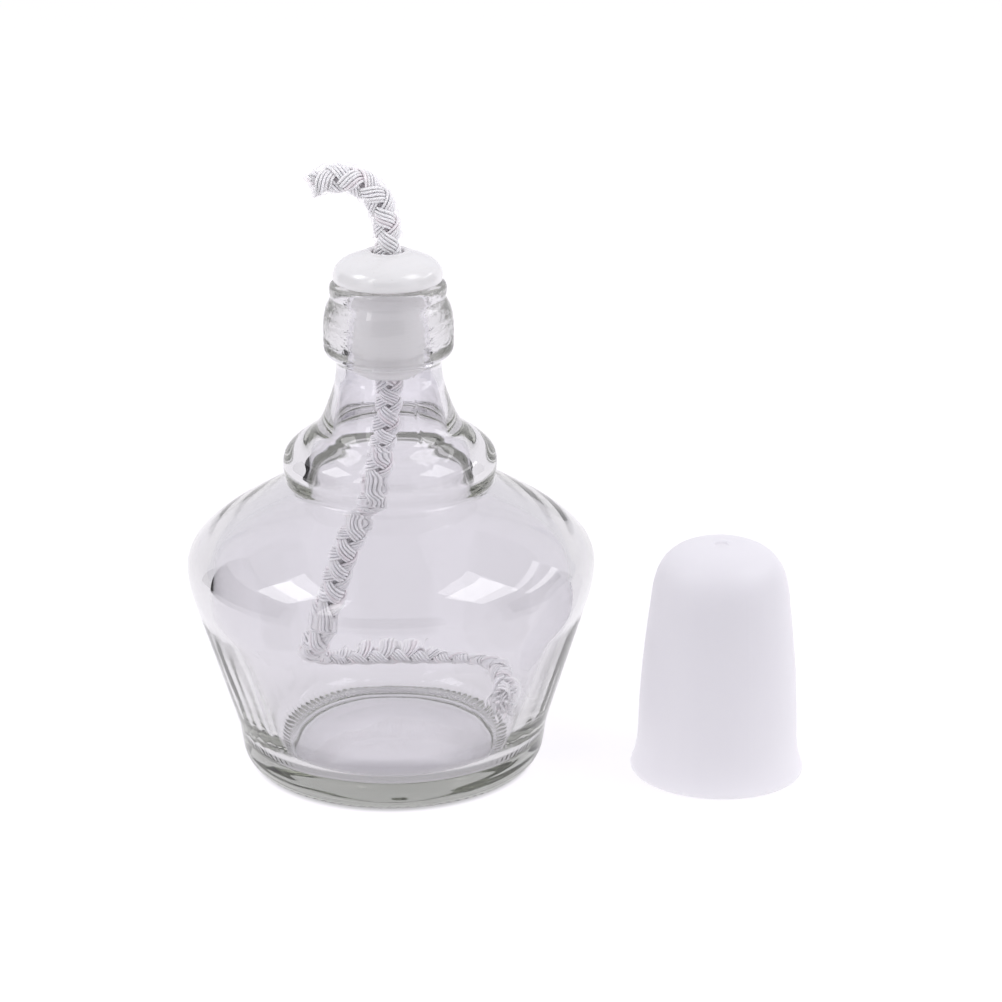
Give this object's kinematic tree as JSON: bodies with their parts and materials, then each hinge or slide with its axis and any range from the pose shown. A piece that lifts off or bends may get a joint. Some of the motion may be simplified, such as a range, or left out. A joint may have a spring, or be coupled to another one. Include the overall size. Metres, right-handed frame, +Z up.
{
  "type": "oil lamp",
  "caption": "Clear glass spirit lamp with a collared neck, porcelain wick holder, braided cotton wick and a loose milky snuffer cap.",
  "frame": {"origin": "bottom centre of the box around the lamp and the cap beside it, on the surface that both stand on", "axes": "+Z up; +X from the lamp towards the snuffer cap; -Y is the front; the lamp's axis is at x = -0.0228 m, y = 0 and the cap's axis at x = 0.0482 m, y = -0.0070 m"},
  "size_m": [0.1336, 0.088, 0.1327],
  "materials": {
    "clear_glass": "clear pressed glass, fire polished, faint grey-lavender in thick parts",
    "porcelain": "opaque white porcelain, glazed dome, matt stem",
    "cotton": "white braided cotton cord, frayed ends",
    "milky_plastic": "translucent milky polyethylene, satin"
  },
  "bodies": {
    "reservoir": {"glass_reservoir": "clear_glass"},
    "holder": {"wick_holder": "porcelain"},
    "wick": {"wick": "cotton"},
    "cap": {"snuffer_cap": "milky_plastic"}
  },
  "joints": [
    {"name": "holder_lift", "type": "slide", "parent": "reservoir", "child": "holder", "axis": [0, 0, 1], "range_m": [0, 0.022]},
    {"name": "wick_feed", "type": "slide", "parent": "holder", "child": "wick", "axis": [0, 0, 1], "range_m": [0, 0.005]},
    {"name": "cap_lift", "type": "slide", "parent": "reservoir", "child": "cap", "axis": [0, 0, 1], "range_m": [0, 0.135]}
  ]
}
